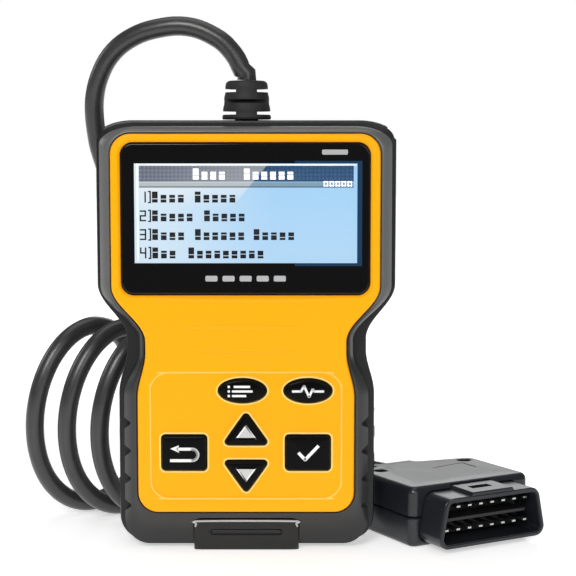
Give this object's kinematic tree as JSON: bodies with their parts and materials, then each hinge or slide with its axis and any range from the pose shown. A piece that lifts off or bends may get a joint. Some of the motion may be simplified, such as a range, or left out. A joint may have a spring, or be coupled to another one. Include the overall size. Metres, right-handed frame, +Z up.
{
  "type": "obd code reader",
  "caption": "Handheld vehicle fault-code reader with a screen, six push keys, a coiled lead and a diagnostic plug.",
  "frame": {"origin": "under the middle of the reader, on the surface that its port cover stands on; the lead and plug lie around it", "axes": "+Z up towards the strain relief, screen and keys face -Y, +X to the right of someone reading the screen"},
  "size_m": [0.1582, 0.0884, 0.1521],
  "materials": {
    "yellow_plastic": "satin moulded yellow, fine texture",
    "bezel_plastic": "satin dark grey moulding",
    "dark_plastic": "matt near-black moulding",
    "rubber": "matt soft rubber",
    "lens_black": "polished black window",
    "lcd_blue": "pale blue liquid-crystal display",
    "key_gloss": "glossy black key caps",
    "white_plastic": "white moulded plastic",
    "black_plastic": "black component plastic",
    "bright_metal": "bright sheet metal",
    "screw_metal": "dark zinc-plated steel",
    "board_green": "solder-masked laminate",
    "flex_film": "amber polyimide film",
    "label_film": "blank satin label",
    "plug_plastic": "satin dark grey moulding",
    "cord_jacket": "smooth satin lead jacket"
  },
  "bodies": {
    "reader": {"back_housing": "dark_plastic", "front_bezel": "bezel_plastic", "front_panel": "yellow_plastic", "grip_left": "rubber", "grip_right": "rubber", "port_cover": "dark_plastic", "back_label": "label_film", "strain_relief": "rubber", "display_window": "lens_black", "lcd_frame": "bright_metal", "lcd_glass": "lcd_blue", "backlight_panel": "white_plastic", "lcd_ribbon": "flex_film", "main_board": "board_green", "processor_chip": "black_plastic", "interface_chip": "black_plastic", "regulator": "black_plastic", "crystal": "bright_metal", "buzzer": "black_plastic", "capacitor": "bright_metal", "usb_socket": "bright_metal", "cable_header": "white_plastic", "cable_connector": "white_plastic", "inner_leads": "cord_jacket", "pin_block": "black_plastic", "plug_shell": "plug_plastic", "plug_body_lower": "plug_plastic", "plug_body_upper": "plug_plastic", "plug_boot": "rubber", "cord_arch": "cord_jacket", "cord_coil": "cord_jacket", "cord_lead": "cord_jacket", "housing_screw_1": "screw_metal", "housing_screw_2": "screw_metal", "housing_screw_3": "screw_metal", "housing_screw_4": "screw_metal", "board_screw_1": "screw_metal", "plug_screw_1": "screw_metal", "board_screw_2": "screw_metal", "plug_screw_2": "screw_metal", "switch_up": "black_plastic", "switch_down": "black_plastic", "switch_back": "black_plastic", "switch_enter": "black_plastic", "switch_oval_left": "black_plastic", "switch_oval_right": "black_plastic"},
    "key_up": {"key_up": "key_gloss", "plunger_up": "white_plastic"},
    "key_down": {"key_down": "key_gloss", "plunger_down": "white_plastic"},
    "key_back": {"key_back": "key_gloss", "plunger_back": "white_plastic"},
    "key_enter": {"key_enter": "key_gloss", "plunger_enter": "white_plastic"},
    "key_oval_left": {"key_oval_left": "key_gloss", "plunger_oval_left": "white_plastic"},
    "key_oval_right": {"key_oval_right": "key_gloss", "plunger_oval_right": "white_plastic"}
  },
  "joints": [
    {"name": "press_up", "type": "slide", "parent": "reader", "child": "key_up", "axis": [0, 1, 0], "range_m": [0, 0.0006], "stiffness_N_per_m": 1500},
    {"name": "press_down", "type": "slide", "parent": "reader", "child": "key_down", "axis": [0, 1, 0], "range_m": [0, 0.0006], "stiffness_N_per_m": 1500},
    {"name": "press_back", "type": "slide", "parent": "reader", "child": "key_back", "axis": [0, 1, 0], "range_m": [0, 0.0006], "stiffness_N_per_m": 1500},
    {"name": "press_enter", "type": "slide", "parent": "reader", "child": "key_enter", "axis": [0, 1, 0], "range_m": [0, 0.0006], "stiffness_N_per_m": 1500},
    {"name": "press_oval_left", "type": "slide", "parent": "reader", "child": "key_oval_left", "axis": [0, 1, 0], "range_m": [0, 0.0006], "stiffness_N_per_m": 1500},
    {"name": "press_oval_right", "type": "slide", "parent": "reader", "child": "key_oval_right", "axis": [0, 1, 0], "range_m": [0, 0.0006], "stiffness_N_per_m": 1500}
  ]
}
